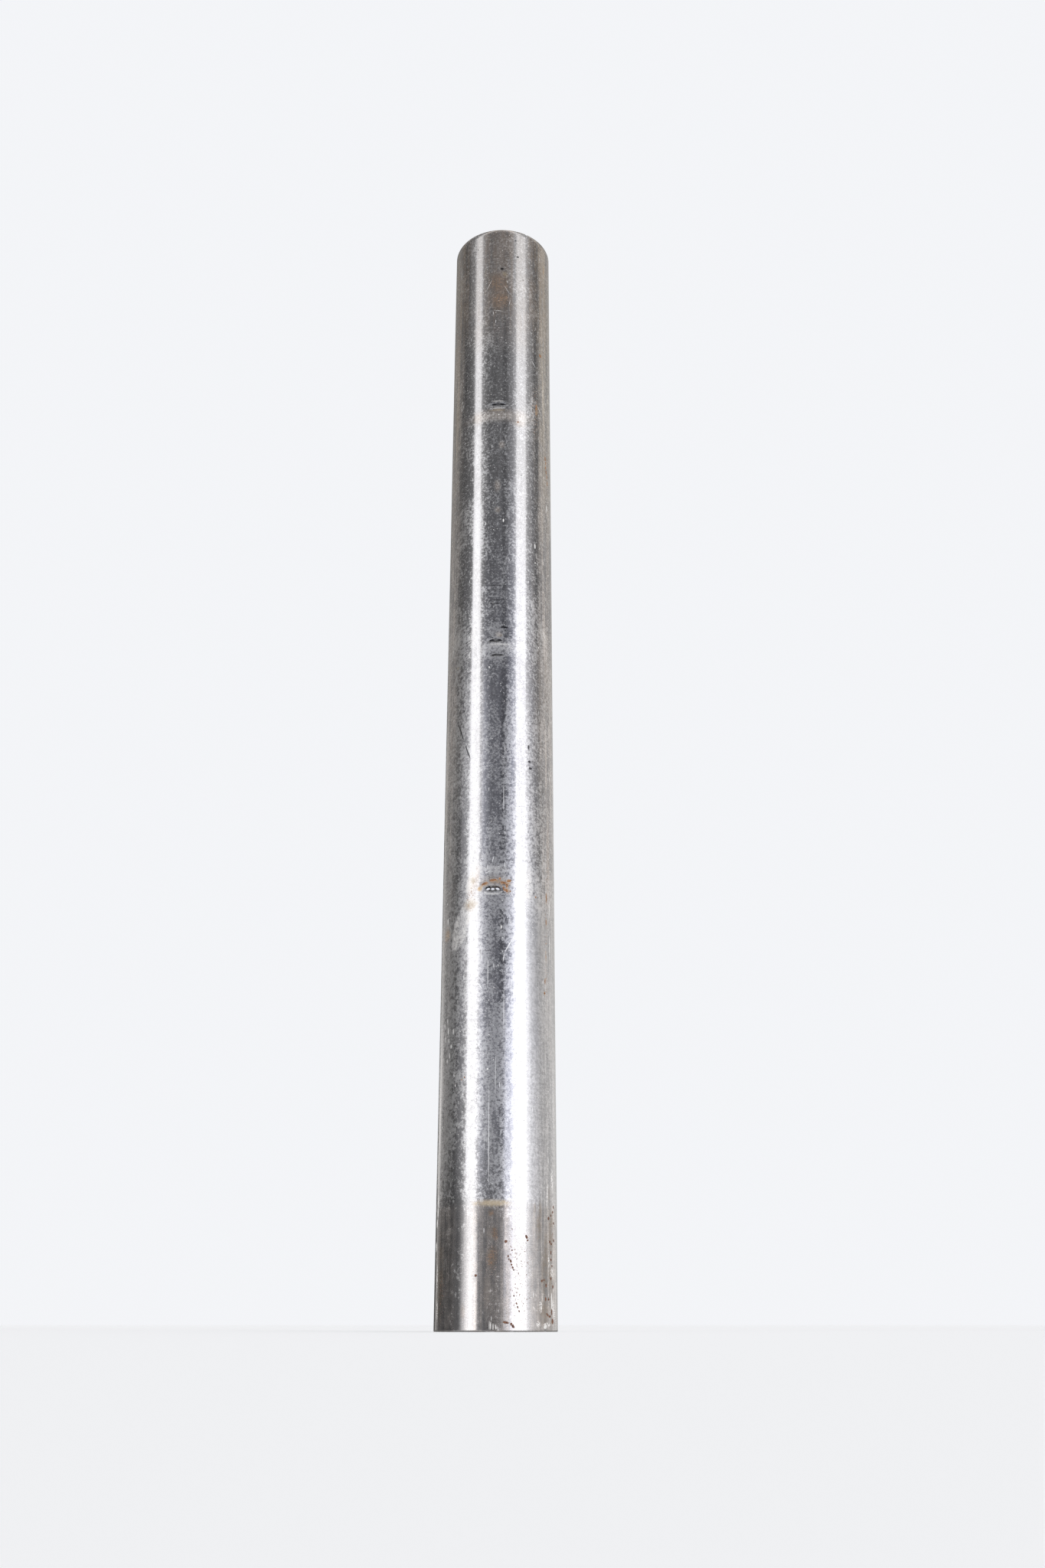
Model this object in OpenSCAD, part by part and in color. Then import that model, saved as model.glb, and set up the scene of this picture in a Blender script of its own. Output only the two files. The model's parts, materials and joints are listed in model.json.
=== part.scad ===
// Stainless steel downpipe: one plain round tube, cut square and left open at both ends.
// It stands on its lower end. +Z runs up its axis and the origin is the centre of the lower end.
// Pressed into its front, which faces -Y, is a column of dents left by old pipe clamps.

/* [Tube] */
// Outside diameter
outer_d = 76.1; // [60:0.1:140]
// Wall thickness
wall_t = 2; // [1.6:0.1:4]
// Length from end to end
pipe_l = 825; // [700:1:2000]

/* [Cut ends] */
// Width of the broken outer edge at each end
outer_break = 0.4; // [0.1:0.05:0.7]
// Width of the deburred inner edge at each end
inner_break = 0.3; // [0.1:0.05:0.7]
// Diameter of the nick knocked into the upper rim
nick_d = 1.8; // [0.6:0.1:4]
// Depth of that nick below the upper rim
nick_depth = 0.7; // [0.2:0.05:2]
// Turn of the nick round the pipe from the front, towards +X
nick_turn = 34.5; // [5:0.5:355]

/* [Lower dent] */
// Height of the lower dent above the lower end
low_dent_z = 271.5; // [100:0.5:400]
// Turn of the lower dent from the front
low_dent_turn = -0.7; // [-10:0.1:10]
// Width of the lower dent across the pipe
low_dent_w = 12.4; // [6:0.1:16]
// Height of the lower dent along the pipe
low_dent_h = 4.4; // [1:0.1:8]

/* [Middle dent] */
// Height of the middle dent above the lower end
mid_dent_z = 454.5; // [410:0.5:560]
// Turn of the middle dent from the front
mid_dent_turn = 0; // [-10:0.1:10]
// Width of the middle dent across the pipe
mid_dent_w = 11; // [6:0.1:16]
// Height of the middle dent along the pipe
mid_dent_h = 2.6; // [1:0.1:8]

/* [Crease under the middle dent] */
// Distance from the middle dent down to the crease
crease_drop = 11.5; // [8:0.1:30]
// Turn of the crease from the front
crease_turn = 1.8; // [-10:0.1:10]
// Width of the crease across the pipe
crease_w = 10.6; // [6:0.1:16]
// Height of the crease along the pipe
crease_h = 1.4; // [0.8:0.1:4]

/* [Upper dent] */
// Height of the upper dent above the lower end
top_dent_z = 655.5; // [570:0.5:690]
// Turn of the upper dent from the front
top_dent_turn = 0.8; // [-10:0.1:10]
// Width of the upper dent across the pipe
top_dent_w = 12.7; // [6:0.1:16]
// Height of the upper dent along the pipe
top_dent_h = 3; // [1:0.1:8]

/* [Hidden] */
outer_r = outer_d / 2;
inner_r = outer_r - wall_t;
round_fn = 180;
small_fn = 48;
// Each dent as its height on the pipe, its turn from the front, its width and its height
DENTS = [
    [low_dent_z, low_dent_turn, low_dent_w, low_dent_h],
    [mid_dent_z, mid_dent_turn, mid_dent_w, mid_dent_h],
    [mid_dent_z - crease_drop, crease_turn, crease_w, crease_h],
    [top_dent_z, top_dent_turn, top_dent_w, top_dent_h]
];

// How deep a straight edge sinks into a round of radius r to leave a mark w wide
function sink(r, w) = r - sqrt(pow(r, 2) - pow(w / 2, 2));

// Radius of the edge that leaves a mark h high when it has sunk d deep
function edge_r(d, h) = (pow(d, 2) + pow(h / 2, 2)) / (2 * d);

// Half section of the wall, with its outer and inner edges broken at both ends
module wall_section() {
    polygon([
        [inner_r + inner_break, 0],
        [outer_r - outer_break, 0],
        [outer_r, outer_break],
        [outer_r, pipe_l - outer_break],
        [outer_r - outer_break, pipe_l],
        [inner_r + inner_break, pipe_l],
        [inner_r, pipe_l - inner_break],
        [inner_r, inner_break]
    ]);
}

// The straight rounded edge of a clamp, lying across the front at the depth that leaves the dent
module clamp_edge(dent) {
    depth = sink(outer_r, dent[2]);
    tip_r = edge_r(depth, dent[3]);
    rotate([0, 0, dent[1]])
        translate([0, -outer_r + depth - tip_r, dent[0]])
            rotate([0, 90, 0])
                cylinder(h = 2 * dent[2], r = tip_r, center = true, $fn = small_fn);
}

// The round corner that knocked a nick into the upper rim
module rim_nick() {
    rotate([0, 0, nick_turn])
        translate([0, -outer_r, pipe_l + nick_d / 2 - nick_depth])
            rotate([90, 0, 0])
                cylinder(h = 2 * wall_t, d = nick_d, center = true, $fn = small_fn);
}

module pipe() {
    color([0.66, 0.65, 0.64])
        difference() {
            rotate_extrude($fn = round_fn) wall_section();
            for (dent = DENTS) clamp_edge(dent);
            rim_nick();
        }
}

pipe();
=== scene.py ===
"""A worn stainless steel downpipe, standing on a pale floor in soft studio light.

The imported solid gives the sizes. Its surface is made again here as one finer mesh,
with the same dents, nick and broken edges, and gets a worn, stained steel material.
"""

import json
import math

import bpy
from mathutils import Matrix, Vector


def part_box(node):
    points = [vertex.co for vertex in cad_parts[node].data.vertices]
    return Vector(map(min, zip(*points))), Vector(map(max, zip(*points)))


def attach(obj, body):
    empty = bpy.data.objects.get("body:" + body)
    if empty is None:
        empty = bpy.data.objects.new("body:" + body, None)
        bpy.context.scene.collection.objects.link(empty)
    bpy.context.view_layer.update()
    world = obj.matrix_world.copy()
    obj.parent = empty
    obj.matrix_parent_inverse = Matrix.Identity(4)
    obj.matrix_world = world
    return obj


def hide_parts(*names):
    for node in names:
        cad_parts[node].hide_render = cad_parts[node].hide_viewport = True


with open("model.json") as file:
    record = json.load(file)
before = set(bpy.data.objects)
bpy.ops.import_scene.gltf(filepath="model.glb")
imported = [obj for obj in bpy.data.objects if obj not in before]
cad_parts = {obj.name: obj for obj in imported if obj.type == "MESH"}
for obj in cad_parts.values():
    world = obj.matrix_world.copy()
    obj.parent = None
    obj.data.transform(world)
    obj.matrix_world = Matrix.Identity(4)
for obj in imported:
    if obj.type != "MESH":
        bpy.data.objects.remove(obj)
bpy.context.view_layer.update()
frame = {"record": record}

# Sizes of the pipe in metres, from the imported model
MM = 0.001
LOW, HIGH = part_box("pipe")
OUTER_R = (HIGH.x - LOW.x) / 2
LENGTH = HIGH.z - LOW.z
MOUNTS = {mount["name"]: mount for mount in frame["record"]["mounts"]}
INNER_R = MOUNTS["bore"]["dims"]["r_mm"] * MM
OUTER_BREAK = (LENGTH - MOUNTS["outside"]["dims"]["length_mm"] * MM) / 2
INNER_BREAK = (LENGTH - MOUNTS["bore"]["dims"]["length_mm"] * MM) / 2

# Each dent: height in mm, turn from the front in degrees, width and height of its print in mm
DENTS = [
    (271.5, -0.7, 12.4, 4.4),
    (454.5, 0.0, 11.0, 2.6),
    (443.0, 1.8, 10.6, 1.4),
    (655.5, 0.8, 12.7, 3.0),
]
# How softly a dent's edge runs into the round, in mm
DENT_EDGE = 0.12
# The nick in the upper rim: turn in degrees, diameter and depth in mm
NICK = (34.5, 1.8, 0.7)
# Small chips in the lower rim: turn in degrees, half the width and the depth in mm
CHIPS = [(-3.0, 1.6, 0.25), (1.5, 2.2, 0.35), (19.5, 1.8, 0.3), (58.0, 2.6, 0.25), (-71.0, 2.0, 0.2)]
# Height over which the mesh follows a nick or chip in a rim, in mm
RIM_BAND = 2.0

# Steps of the mesh: round the pipe in degrees, up its outside and up its bore in mm
TURN_STEP = 2.4
HEIGHT_STEP = 4.0
BORE_STEP = 20.0
# Finer steps round the pipe in degrees, each as how far they reach to both sides and how long they are
DENT_TURNS = (12.0, 0.55)
NICK_TURNS = (4.0, 0.35)
CHIP_TURNS = (4.0, 0.8)
# Finer steps up the pipe in mm, written in the same way
DENT_HEIGHTS = (6.0, 0.4)
RIM_HEIGHTS = (3.0, 0.5)
BORE_ENDS = (5.0, 1.0)

# Ovals that belong to a dent. Each has its shift across and up and its width and height, all as
# shares of the dent's own, and its slant in degrees: the haze round every dent, the painted shade
# in its hollow, darker at both its ends, and the painted highlights inside the lowest one
HALO = [(0, -0.1, 1.5, 2.8, 0)]
HOLLOW_SHADE = [(0, 0.03, 0.88, 0.7, 0)]
HOLLOW_END_SHADE = [(-0.3, 0.16, 0.3, 0.7, -9), (0.3, 0.16, 0.3, 0.7, 9)]
GLINTS = [(-0.27, -0.08, 0.21, 0.32, 18), (-0.02, -0.08, 0.21, 0.32, 0), (0.24, -0.08, 0.21, 0.32, -18)]
# How much higher than its share the painted shade in a hollow is, in mm
HOLLOW_SHADE_EXTRA = 0.6

# The lists down to PITS hold marks on the surface. Each mark has, in mm, how far round from the
# front and how high up it lies, its width and its height, and then its slant in degrees

# Where the pale haze is thicker
PALE_PATCHES = [
    (0, 286, 24, 13, 0), (1, 265, 15, 7, 0), (-1, 463, 12, 15, 0), (2.5, 92, 13, 21, 0),
    (8.5, 348, 5, 14, 0), (-32, 178, 8, 40, 0), (2, 449, 24, 22, 0), (9, 380, 6, 50, 0),
    (-2, 160, 16, 44, 0), (4, 137, 13, 30, 0), (-13, 548, 9, 60, 0), (-27, 450, 7, 40, -15),
    (9.5, 320, 4, 40, 0), (-3.1, 48, 3, 2.6, 0), (-2, 112, 8, 16, 0), (6, 178, 7, 26, 0),
    (-8, 128, 5, 30, 0),
]
# Where the haze is thinner and the dark steel shows
CLEAR_PATCHES = [
    (-7, 330, 12, 40, 0), (3, 228, 13, 26, 0), (5, 405, 6, 60, 0), (-24, 300, 9, 50, 0),
    (-25, 90, 10, 40, 0), (4, 560, 5, 70, 0), (-5, 512, 14, 18, 0), (1.5, 600, 16, 22, 0),
    (2, 690, 15, 26, 0), (33, 620, 4, 120, 0), (34, 420, 5, 90, 0), (8, 20, 6, 60, 0),
    (7, 80, 5, 14, 20), (2, 120, 9, 22, 0), (-4, 184, 7, 40, 0), (4, 205, 9, 22, 0),
    (-23, 520, 8, 60, 0), (-31, 276, 8, 24, -30),
]
# Strong chalky smears beside the lowest dent
SWEEP = [
    (-21, 254, 12, 34, -36), (-16, 279, 5, 22, -18), (-26, 240, 11, 18, -34), (22, 273, 13, 14, 0),
]
# Fainter chalky patches round the dents
CHALK = [
    (0, 284.5, 22, 6, 0), (33, 262, 8, 30, 0), (24, 647, 15, 18, 0), (30, 660, 8, 20, 0),
    (26, 276, 16, 24, 0), (0, 644.5, 28, 9, 0), (3, 450, 26, 7, 0), (-19, 455, 6, 26, -12),
    (-34, 460, 9, 20, -30), (40, 466, 8, 16, 30), (-38, 246, 9, 12, 0),
]
# Brown film in patches, runs and rings
STAINS = [
    (0, 646, 82, 15, 0), (1.8, 759, 18, 34, 0), (0.5, 277, 24, 10, 0), (2, 459, 6, 6, 0),
    (-40, 247, 14, 16, 0), (-0.5, 66, 5, 9, 0), (0, 40, 9, 26, 0), (44, 300, 8, 120, 0),
    (42, 600, 10, 120, 0), (43, 790, 10, 50, 0), (-17.6, 11, 5, 12, 0), (38, 12, 16, 26, 0),
    (0.6, 800, 17, 60, 0), (3.5, 619, 6, 9, 0), (22.5, 798, 5, 22, 0), (39.6, 640, 12, 40, 0),
    (44, 20, 9, 60, 0), (-40, 660, 16, 70, 0), (-45, 420, 12, 200, 0), (43, 440, 9, 130, 0),
    (-19, 646, 14, 12, 0), (17, 641, 16, 10, 10), (0, 649.5, 24, 6, 0), (3, 757, 11, 12, 0),
    (-14, 277, 9, 26, -15), (-2, 22, 9, 40, 0), (0, 56, 12, 16, 0), (21, 800, 7, 40, 0),
    (0.3, 583, 6, 13, 0), (0.6, 562, 6, 7, 0),
]
# Tan stains, the first of them the ring above the lower end, which shows at the front
TAN_STAINS = [
    (0.8, 72.7, 26, 5.2, 0), (-16.6, 261.5, 12, 9, 0), (-14.5, 278, 3.6, 6, 0),
    (3.7, 458.4, 3, 2.4, 0), (4.9, 780, 5, 7, 30), (43.5, 801, 3, 14, 0), (-9.2, 271.5, 4, 4, 0),
    (45, 5.5, 3, 3, 0), (-31.4, 439.2, 3, 3, 0), (0, 650.5, 15, 2.4, 0),
]
# Painted highlights on the raised lip pushed up along each dent
LIP_HIGHLIGHTS = [
    (2.6, 451.4, 17, 2.0, 0), (0, 455, 2.6, 1.0, 0), (-0.7, 267.9, 12, 1.6, 0),
    (-5.6, 268.9, 3, 1.2, -25), (4.6, 268.9, 3, 1.2, 25), (0.5, 652.2, 13, 1.2, 0),
    (0.5, 658.6, 11, 1.1, 0),
]
# Orange and brown rust stains, with specks of rust and fine rust dust over them
RUST_STAINS = [
    (-6.4, 274.2, 8, 3, 18), (1.5, 276.2, 10, 3.4, 3), (8.8, 275, 6, 4.6, -10),
    (9, 270.6, 3.4, 7, 15), (0.6, 42, 7, 12, -12), (2.4, 55, 4, 9, 10), (0, 67, 4, 4, 0),
    (40.8, 253, 1.6, 7, 0), (41.2, 270, 1.6, 9, 0), (40.2, 230, 1.4, 8, 0), (38.6, 205, 1.5, 4, 0),
    (33, 658, 4, 12, -8), (37.5, 712.5, 3.4, 3.4, 0), (43, 800, 3, 9, 0), (5, 275, 8, 3, -20),
    (-9.5, 272, 4, 3, 30), (0.5, 771, 17, 21, 20), (1.5, 754, 18, 18, -10),
    (-38.5, 244.5, 9, 9, 20),
]
RUST_SPOTS = [
    (-6.2, 275, 4, 1.5, 18), (-0.5, 277.2, 4.6, 1.5, 8), (4, 278.2, 1.5, 1.6, 0),
    (10, 276.8, 3.2, 1.8, 10), (6.4, 275.4, 4, 1.6, -12), (8.6, 273.6, 1.6, 3, 10),
    (8.4, 270.2, 1.8, 2.6, 20), (10.9, 269.8, 1.1, 1.1, 0), (6.6, 271.4, 1.2, 3.6, 20),
    (9, 50.6, 1.6, 1.6, 0), (22.2, 53.4, 1.4, 2.2, 30), (23, 51.4, 1, 1, 0),
    (-9.2, 31.3, 1.4, 1.2, 0), (9, 5.3, 3.6, 1.2, -10), (12.4, 4.4, 1.2, 1.4, 0),
    (13.5, 3.2, 1.4, 2, 30), (12, 39.4, 1.1, 1.6, 20), (12.5, 37.4, 1, 1, 0),
    (13.2, 35.8, 1, 1.3, 25), (13.9, 34.5, 0.8, 0.9, 0), (10.4, 42.2, 0.9, 1.2, 0),
    (10.9, 40.4, 0.8, 0.9, 0), (12.8, 45.6, 0.8, 0.9, 0), (15.7, 15.7, 0.8, 1.2, 25),
    (16.4, 13.7, 0.8, 1.3, 25), (17.3, 11.5, 0.8, 1.1, 30), (14, 20, 0.8, 0.9, 0),
    (34.1, 28.6, 1.8, 1.4, 20), (36, 29.1, 1.6, 1.1, 10), (39.4, 9.6, 3, 1.2, -30),
    (41.9, 8.6, 3, 1.2, 0), (44.7, 11, 1.5, 3.4, 0), (45.8, 5.9, 2.8, 3, 0),
    (37.5, 712.5, 2.4, 2.4, 0), (-18.8, 149.1, 1, 1, 0), (-20.8, 147.8, 0.9, 0.9, 0),
    (15.7, 641, 1.6, 1.1, 25), (32.4, 660.7, 1.2, 6, -6), (41.2, 270.3, 1.1, 6, 0),
    (40.6, 253.2, 1, 3.4, 0), (30, 268.2, 1.2, 1.2, 0), (39, 213, 1, 4, 0),
    (38.4, 205, 1.6, 1.6, 0), (41.3, 64.9, 2, 1.8, 0), (48.3, 72, 2, 1.8, 0),
    (47.2, 68.9, 2, 1.3, 0), (44.3, 66.7, 1.3, 1.6, 0), (48.6, 62.4, 2, 1.4, 0),
    (42.7, 51.3, 1.8, 1.6, 0), (44.6, 50.1, 2, 1.4, 0), (48.6, 52.2, 2, 1.5, 0),
    (44.1, 45, 1.5, 2.4, 0), (44.1, 40.9, 2, 1.6, 0), (45.4, 37.3, 1.6, 1.4, 0),
    (38.2, 26, 1.4, 2, 0), (37.6, 18.3, 1.4, 2.2, 0), (40.8, 18.2, 1.6, 1.4, 20),
    (43.8, 30, 1.8, 1.5, 0), (46.6, 25.5, 2, 1.8, 0), (43.9, 620.4, 1.5, 4, 0),
    (45, 617, 1.3, 3, 0), (44.3, 612.5, 1.5, 3, 0), (45.3, 609, 1.5, 3.4, 0),
    (46.6, 605.5, 1.5, 3, 0), (47.5, 600, 1.3, 4, 0),
]
RUST_DUST = [
    (0.5, 275, 22, 8, 0), (0, 40, 9, 20, 0), (2, 54, 6, 9, 0), (46, 610, 5, 60, 0),
    (41, 240, 4, 110, 0), (45, 58, 7, 26, 0), (44.5, 38, 5, 24, 0), (13, 46, 5, 30, 0),
    (20, 30, 14, 60, 0), (-16, 265, 8, 20, 0), (43, 280, 8, 40, 0), (31, 655, 8, 60, 0),
    (-39, 246, 9, 16, 0), (12, 14, 8, 24, 0), (-37, 20, 14, 30, 0), (3, 757, 10, 14, 0),
]
# White crust and brown dirt, most of it near the lower end
CRUST = [
    (41.3, 40, 2.2, 8, 0), (46.6, 14.6, 5, 8, 0), (48.6, 10.2, 4, 9, 0), (31, 4.3, 4, 4, 0),
    (40, 79, 1.4, 15, -8), (39, 4, 8, 3, 0), (46.5, 88, 4, 14, 0), (45, 34, 4, 10, 0),
    (-43, 12, 3, 14, 0), (-44, 30, 3, 20, 0), (-39.5, 184, 1.8, 5, 10), (-38.4, 176, 1.5, 6, 0),
    (-36.8, 169, 1.8, 3, 0), (-35.4, 161, 1.2, 4, 0), (-31, 170, 1.4, 3, 0),
    (-27.4, 152, 1.4, 4, 0), (-26.2, 145, 1.2, 3, 0), (33, 14, 3, 8, 0),
]
DIRT = [
    (36.8, 32, 7, 26, 0), (38.6, 44, 5, 30, 0), (35.4, 10, 11, 15, 0), (43.4, 30, 5, 16, 0),
    (46, 26, 4, 9, -20), (31.5, 58, 5, 18, 0), (33, 68, 3, 16, 0), (44.5, 58, 8, 30, 0),
    (42, 78, 3, 12, 0), (28.5, 70.2, 1.8, 7, 0), (-39, 30, 9, 60, 0),
]
# Single white flecks. Far round on the left their colour is lighter, as painted light
FLECKS = [
    (30.5, 537, 1.4, 5, 0), (30.7, 523, 1, 1.6, 0), (45.8, 577, 1.4, 8, 0),
    (33.9, 454.7, 0.9, 1.7, 0), (-44.6, 76, 1.6, 9, 0), (-45.4, 69, 1.9, 7, 0),
    (-46.6, 62.5, 2.2, 6, 0), (-47.4, 48.6, 2.2, 7, 0), (-3.1, 153.4, 1.2, 1.2, 0),
    (0.2, 3.5, 0.6, 5, 0), (1.6, 3, 0.5, 4, 0), (-0.6, 3.6, 0.4, 6, 0), (3.2, 2.6, 0.5, 3, 0),
    (-34.5, 180, 1, 5, 0), (-33.6, 174, 0.8, 3, 0), (-29, 179, 0.8, 4, 0), (1, 646.1, 1, 1, 0),
    (-4.5, 433.7, 0.9, 1.5, 0), (5.1, 245.2, 0.9, 2.6, 0), (-38, 254, 1.2, 5, 0),
    (45.3, 263.4, 1, 12, 0), (44.6, 17, 1.4, 12, 0), (37, 2.6, 3, 2.4, 0), (45.4, 238, 0.8, 20, 0),
    (4.9, 553, 1.1, 3.2, 0), (-32.6, 164, 0.8, 4, 0), (-35.6, 187, 0.7, 4, 0),
]
# Fine scratches, clean and dirty, and small dark pits
BRIGHT_SCRATCHES = [
    (-1.9, 113, 0.5, 82, 0.2), (10.2, 233.5, 0.7, 15, -29), (6.8, 225, 0.5, 8, -9),
    (-8, 228, 0.4, 12, 3), (-3.4, 215, 0.5, 22, 0), (11.9, 205, 0.35, 16, 0), (0.4, 219, 0.4, 6, 6),
    (-14, 509.5, 9, 0.5, 0), (-0.7, 291.6, 0.6, 5, -10), (-7.5, 770, 0.35, 14, -24),
    (6.5, 765, 0.3, 12, 28), (0.5, 744, 9, 0.4, -8), (8.8, 752, 0.3, 8, -12),
    (-37.1, 796, 0.5, 20, 0), (-4, 283, 5, 0.5, 20), (-9, 207, 0.4, 6, 38), (30, 700, 0.5, 9, 40),
    (36, 660, 0.6, 12, 38), (-36, 470, 0.5, 14, -30), (-40, 452, 0.5, 16, -32),
    (-34, 430, 0.4, 12, -26), (40, 468, 0.5, 10, 34), (2, 150, 0.3, 30, 0), (7, 190, 0.3, 40, 0),
    (6.2, 336, 0.35, 26, 0),
]
DARK_SCRATCHES = [
    (-26.8, 388.5, 1.2, 23, 21.6), (-20.1, 371.4, 1.2, 15, 21.8), (1, 499, 22, 0.5, 0),
    (1, 495, 22, 0.4, 0), (1, 487, 22, 0.6, 0), (1, 484, 22, 0.5, 0), (6.1, 465, 7, 2.2, 0),
    (8.8, 462.2, 8, 0.5, 0), (9, 460.2, 8, 0.4, 0), (9, 457.8, 7, 0.4, 0), (-21, 463.5, 5, 0.7, 25),
    (-22.7, 456.4, 4, 0.7, 20), (24.3, 374.8, 2, 4.6, 0), (25, 364.2, 3.2, 2.4, 0),
    (25.8, 359.4, 3.4, 2.6, 0), (10, 291.5, 9, 0.5, 0),
]
PITS = [
    (18.4, 594.1, 1, 1, 0), (-23.8, 403.2, 1.2, 1.4, 0), (-31.4, 764.3, 1.2, 1.6, 0),
    (-17.7, 809, 0.9, 1.6, 0), (2.7, 785.3, 3, 3, 0), (19.9, 777.4, 1, 1, 0),
    (15.4, 799, 2.4, 2.4, 0), (13.7, 815, 1.6, 1.6, 0), (28.5, 270.7, 1, 1.2, 0),
    (3.7, 458.4, 0.9, 1, 0), (1.8, 226, 1, 0.9, 0),
]

# Colours of the surface, as shares of red, green and blue
CLEAR_STEEL = (0.455, 0.452, 0.47)
HAZY_STEEL = (0.65, 0.652, 0.685)
# Tints of the brown film: at the top, at the top on the bright strips, on the sides, and on the
# left and the right side at the top
TOP_TINT = (0.95, 0.875, 0.8)
STRIP_TINT = (0.95, 0.935, 0.91)
SIDE_TINT = (0.955, 0.86, 0.765)
LEFT_TINT = (0.975, 0.83, 0.665)
RIGHT_TINT = (0.95, 0.845, 0.69)
GRIME = (0.21, 0.145, 0.095)
TAN = (0.56, 0.455, 0.3)
STRIP_TAN = (0.38, 0.325, 0.265)
ORANGE = (0.44, 0.27, 0.12)
BROWN = (0.3, 0.175, 0.09)
CHALKY = (0.76, 0.73, 0.69)
DIRTY = (0.24, 0.18, 0.125)
CRUSTY = (0.86, 0.84, 0.82)
# Colour of the painted highlights along each dent's raised lip
LIP_HIGHLIGHT = (0.76, 0.74, 0.71)
# Dark and light rust, low on the pipe and above that
LOW_RUST = [(0.06, 0.025, 0.018), (0.2, 0.095, 0.055)]
HIGH_RUST = [(0.13, 0.055, 0.03), (0.36, 0.19, 0.085)]
SCRATCHED = (0.95, 0.95, 0.96)
# Black for the dark scratches and pits, and for the painted shade in each dent's hollow
BLACK_MARKS_AND_SHADE = (0.045, 0.045, 0.05)
# Colour of the painted highlights inside the lowest dent
GLINTING = (0.9, 0.92, 1.0)
WHITE_FLECK = (0.72, 0.71, 0.69)
# Flecks far round on the left: a lighter colour that is painted light
LEFT_FLECK_PAINTED_LIGHT = (0.95, 0.94, 0.92)
WORN_RIM = (0.36, 0.3, 0.24)
DARK_BORE = (0.2, 0.165, 0.13)
LIGHT_BORE = (0.42, 0.37, 0.31)
# A dark line along the lower end: painted contact shade
FOOT_SHADE = (0.06, 0.055, 0.05)
# The haze scatters light like a rough, strong coat on the steel
COAT_ROUGHNESS = 0.46
COAT_IOR = 3.5
# Depth of the relief that specks, grain and grinding lines give the steel, in mm
RELIEF = 0.01
# How strongly each layer colours the steel, and how far each takes the metal's shine away
STRENGTH = {
    "grime": 0.45, "orange": 0.85, "chalk": 0.5, "dirt": 0.75, "lip_highlights": 0.6, "bright": 0.8, "dark": 0.9,
    "rim": 0.8, "foot": 0.8,
}
DULLNESS = {"film": 0.22, "grime": 0.2, "lip_highlights": 0.4, "chalk": 0.55, "stains": 0.5, "glints": 0.8}
# Turns in degrees, to either side, between which the front becomes the sides, and between which the
# strips that mirror the soft boxes begin and end
SIDES = (28.0, 62.0)
STRIP_START = (14.0, 20.0)
STRIP_END = (42.0, 33.0)
# Heights in mm between which the thin haze below the ring turns into the speckled haze above it
RING_EDGE = (65.0, 78.0)
# Heights in mm between which the haze gets thinner, each with how much
THINNER_HAZE = [(480.0, 560.0, -0.02), (600.0, 740.0, -0.04), (150.0, 120.0, -0.04)]
# Heights in mm between which the film at the top and the one below the ring begin
TOP_FILM = (690.0, 760.0)
LOW_FILM = (75.0, 70.0)
# Heights in mm between which orange stains turn browner: near the lower end, and at the top, where
# they get fainter too
LOW_BROWN = (90.0, 70.0)
TOP_BROWN = (715.0, 735.0)
# Distances in mm from the upper end between which the worn rim begins, and from the lower end between
# which the painted contact shade along the foot does
WORN_BAND = (1.1, 0.5)
FOOT_BAND = (1.3, 0.3)

# Light round the room, high up, halfway and low down, as pairs of azimuth in degrees and strength.
# It has the soft boxes' glow on their surroundings, but not the boxes themselves
UPPER_ROOM = [
    (-180, 0.2), (-150, 0.23), (-128, 0.29), (-116, 0.23), (-104, 0.12), (-94, 0.06), (-84, 0.09),
    (-76, 0.13), (-64, 0.22), (-40, 0.35), (-34, 0.25), (-24, 0.15), (-10, 0.14), (0, 0.18),
    (6, 0.18), (9, 0.1), (16, 0.14), (24, 0.3), (32, 0.45), (38, 0.7), (62, 0.75), (70, 0.55),
    (78, 0.4), (86, 0.2), (94, 0.08), (100, 0.24), (108, 0.45), (120, 0.6), (130, 0.5), (140, 0.42),
    (180, 0.45),
]
MIDDLE_ROOM = [
    (-180, 0.1), (-157, 0.12), (-149, 0.5), (-140, 0.38), (-128, 0.26), (-112, 0.23), (-100, 0.12),
    (-88, 0.12), (-78, 0.34), (-70, 0.5), (-62, 0.66), (-36, 1.1), (-30, 0.8), (-24, 0.5),
    (-18, 0.32), (-10, 0.2), (0, 0.2), (6, 0.18), (9, 0.07), (16, 0.08), (22, 0.2), (28, 0.45),
    (34, 0.8), (38, 1.0), (62, 1.3), (70, 0.95), (80, 0.55), (88, 0.34), (95, 0.29), (102, 0.4),
    (110, 0.5), (124, 0.65), (134, 0.55), (142, 0.65), (150, 0.6), (180, 0.5),
]
LOWER_ROOM = [
    (-180, 0.1), (-160, 0.12), (-151, 0.3), (-145, 1.1), (-137, 0.9), (-126, 0.3), (-112, 0.22),
    (-100, 0.13), (-88, 0.1), (-78, 0.24), (-66, 0.42), (-60, 0.6), (-36, 1.3), (-28, 0.95),
    (-20, 0.55), (-12, 0.4), (-4, 0.34), (5, 0.3), (10, 0.24), (15, 0.34), (20, 1.05), (28, 1.6),
    (36, 1.7), (62, 1.6), (72, 1.12), (80, 0.88), (88, 0.72), (96, 0.64), (104, 0.61), (120, 0.68),
    (132, 0.7), (142, 0.85), (150, 0.85), (160, 0.6), (180, 0.5),
]
# Degrees above level between which the upper list gives way to the middle one, and that to the lower
UPPER_TO_MIDDLE = (29.5, 23.0)
MIDDLE_TO_LOWER = (15.0, 9.0)
# The darker corner low on the left: degrees above level and of azimuth between which it begins, and
# the share of the light that is left there
CORNER_RISE = (6.0, 3.5)
CORNER_AZIMUTH = (12.0, 2.0)
CORNER_SHARE = 0.38
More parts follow.
